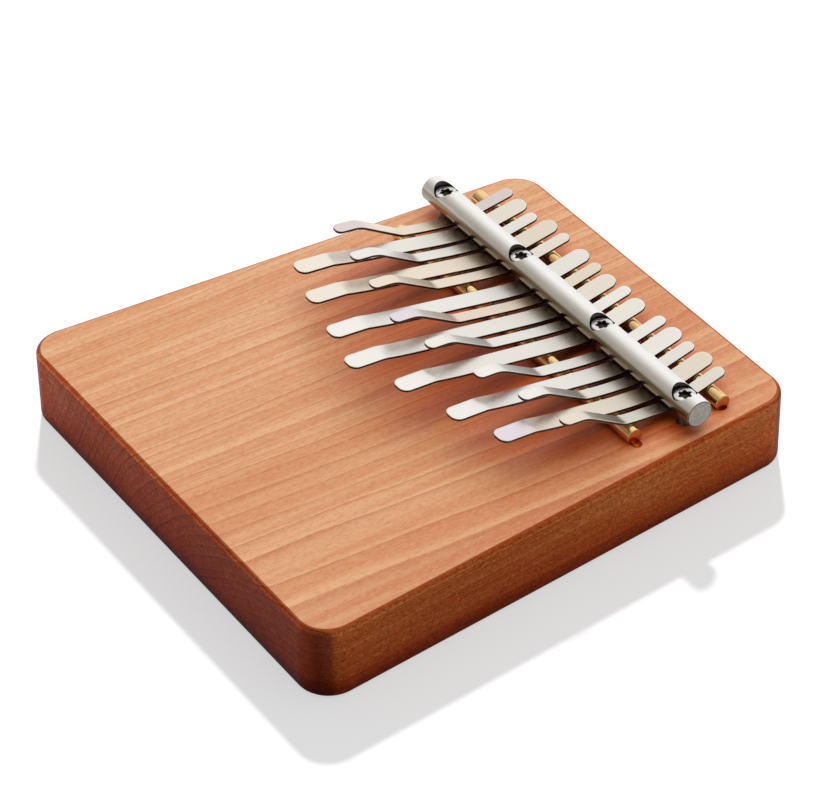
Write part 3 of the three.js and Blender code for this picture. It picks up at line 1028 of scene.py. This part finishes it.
def make_tine(number, edge_shade_material):
    """One strip for the clamped part and the tongue."""
    step = number - MIDDLE_TINE
    group = math.copysign((abs(step) + 2) // GROUP_SIZE, step)
    x = step * PITCH + group * (GROUP_STEP - PITCH)
    bridge = centre_of("rod_front").y
    turn = math.atan(x * SPLAY_PER_METRE)
    narrow = number % 2 == 1
    width = NARROW_WIDTH if narrow else WIDE_WIDTH
    clamped, tongue = f"tine_{number:02d}", f"tongue_{number:02d}"
    tail_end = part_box(clamped)[1].y
    tip_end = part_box(tongue)[0].y
    tail = bridge + (tail_end - width / 2 - bridge) / math.cos(turn) + width / 2
    tip = bridge - (bridge - tip_end - width / 2) / math.cos(turn) - width / 2
    side = tine_side(tip, TIP_LIFT[number - 1] * MM, narrow)
    place = Matrix.Translation((x, bridge, 0)) @ Matrix.Rotation(turn, 4, "Z")
    rings = []
    edge = rounding(TINE_EDGE, TINE_EDGE_STEPS)
    levels = edge + [(inset, TINE_THICKNESS - depth) for inset, depth in reversed(edge)]
    for inset, depth in levels:
        half = []
        for sideways, y in tine_plan(tip, tail, width, inset):
            height, slope = side(y)
            length = math.hypot(1, slope)
            point = Vector((sideways, y - bridge - depth * slope / length, height - depth / length))
            half.append(point)
        ring = half + [Vector((-p.x, p.y, p.z)) for p in reversed(half)]
        rings.append([place @ point for point in ring])
    piece = smooth(loft(f"{clamped}_steel", rings, strip_caps=True), ROUNDED)
    slot, *tints = TINE_STEELS[number - 1]
    steel = spring_steel(number, *(STEEL_TINTS[tint] for tint in tints))
    paint(piece, f"spring_steel_{slot}", steel, edge_shade_material)
    for face in piece.data.polygons:
        # The cut sides take the painted shade.
        face.material_index = int(abs(face.normal.z) < EDGE_FACING)
    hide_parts(clamped, tongue)
    z = centre_of("rod_front").z
    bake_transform(piece)


# Floor, lights and camera

def make_floor():
    """Lit a little from within, as by a light table, which throws no light back on the object."""
    top = cad_box[0].z
    corners = [(-1, -1), (1, -1), (1, 1), (-1, 1)]
    rings = []
    for z in (top - FLOOR_THICKNESS, top):
        rings.append([Vector((x * FLOOR_HALF_WIDTH, y * FLOOR_HALF_WIDTH, z)) for x, y in corners])
    floor = loft("floor", rings)
    s = Shader("floor_white", metallic=0, roughness=0.95, specular=0.1)
    tone = s.noise(s.scaled(2, 2, 2), detail=2)
    bounced = s.nodes.new("ShaderNodeLightPath").outputs["Is Diffuse Ray"]
    s.set("Base Color", s.ramp(tone, [(0.3, (0.415, 0.488, 0.610)), (0.7, (0.425, 0.500, 0.625))]))
    s.set("Emission Color", (*WHITE, 1.0))
    s.set("Emission Strength", s.step(bounced, 0, 1, FLOOR_GLOW, 0))
    floor.data.materials.append(s.material)
    return floor


def make_world():
    """A broad pale light overhead and behind, dimmer and warmer in front, and plain white to the camera.

    It is weaker and warmer for matt surfaces than for metal.
    """
    world = bpy.data.worlds.new("studio")
    bpy.context.scene.world = world
    world.use_nodes = True
    w = Nodes(world.node_tree)
    output = w.nodes.new("ShaderNodeOutputWorld")
    background = w.nodes.new("ShaderNodeBackground")
    w.links.new(background.outputs["Background"], output.inputs["Surface"])
    path = w.nodes.new("ShaderNodeLightPath")
    seen = path.outputs["Is Camera Ray"]
    bounced = path.outputs["Is Diffuse Ray"]
    y, z = w.axes(w.coordinates.outputs["Generated"])[1:]
    sky = w.step(y, *FRONT_FADE, SKY_FRONT, SKY_BACK)
    sky = w.times(sky, w.step(z, *HORIZON_FADE, HORIZON_DIMMING, 1.0))
    sky = w.times(sky, w.step(bounced, 0.0, 1.0, 1.0, SKY_DIFFUSE))
    tint = w.ramp(w.step(y, *FRONT_FADE), [(0.0, SKY_FRONT_TINT), (1.0, WHITE)])
    tint = w.mix(bounced, tint, SKY_DIFFUSE_TINT)
    lit = w.mix(1.0, tint, sky, "MULTIPLY")
    w.put(background.inputs["Color"], w.mix(seen, lit, WHITE))


def aim(thing, azimuth, elevation, distance, target, roll=0.0):
    """Puts a camera or lamp at an azimuth and elevation from the target, looking at it."""
    a, e, r = (math.radians(v) for v in (azimuth, elevation, roll))
    back = Vector((math.sin(a) * math.cos(e), -math.cos(a) * math.cos(e), math.sin(e)))
    right = Vector((0, 0, 1)).cross(back).normalized()
    up = back.cross(right)
    turned_right = right * math.cos(r) + up * math.sin(r)
    turned_up = up * math.cos(r) - right * math.sin(r)
    axes = Matrix((turned_right, turned_up, back)).transposed()
    thing.matrix_world = Matrix.Translation(target + back * distance) @ axes.to_4x4()


def make_lamp(name, energy, size, azimuth, elevation):
    """A distant lamp that is size degrees wide and doesn't show in the metal."""
    data = bpy.data.lights.new(name, "SUN")
    data.energy = energy
    data.angle = math.radians(size)
    lamp = bpy.data.objects.new(name, data)
    bpy.context.scene.collection.objects.link(lamp)
    aim(lamp, azimuth, elevation, LAMP_DISTANCE, CAMERA_TARGET)
    lamp.visible_glossy = False
    return lamp


def link_light(lamp, floor, state):
    """Lets a lamp light only the floor, or everything but the floor."""
    receivers = bpy.data.collections.new(f"{lamp.name}_receivers")
    receivers.objects.link(floor)
    receivers.collection_objects[0].light_linking.link_state = state
    lamp.light_linking.receiver_collection = receivers


def make_lamps(floor):
    """A wide soft lamp high behind the object, and one that only draws its shadow on the floor."""
    soft = make_lamp("soft", SOFT_ENERGY, SOFT_SIZE, SOFT_AZIMUTH, SOFT_ELEVATION)
    link_light(soft, floor, "EXCLUDE")
    shadow = make_lamp("shadow", SHADOW_ENERGY, SHADOW_SIZE, SHADOW_AZIMUTH, SHADOW_ELEVATION)
    shadow.data.color = SKY_DIFFUSE_TINT
    link_light(shadow, floor, "INCLUDE")


def make_camera():
    data = bpy.data.cameras.new("camera")
    data.sensor_width = CAMERA_SENSOR
    data.lens = CAMERA_LENS
    data.clip_start, data.clip_end = CAMERA_CLIP
    camera = bpy.data.objects.new("camera", data)
    bpy.context.scene.collection.objects.link(camera)
    aim(camera, CAMERA_AZIMUTH, CAMERA_ELEVATION, CAMERA_DISTANCE, CAMERA_TARGET, CAMERA_ROLL)
    bpy.context.scene.camera = camera


bpy.context.scene.view_settings.view_transform = "Standard"
make_camera()
make_world()
make_lamps(make_floor())
make_board()
make_bar()
brass_material = brass()
for rod in RODS:
    make_rod(rod, brass_material)
screw_materials = (screw_steel(), shaded_screw_steel())
for screw in SCREWS:
    make_screw(screw, screw_materials)
edge_shade_material = edge_shade_steel()
for number in TINES:
    make_tine(number, edge_shade_material)
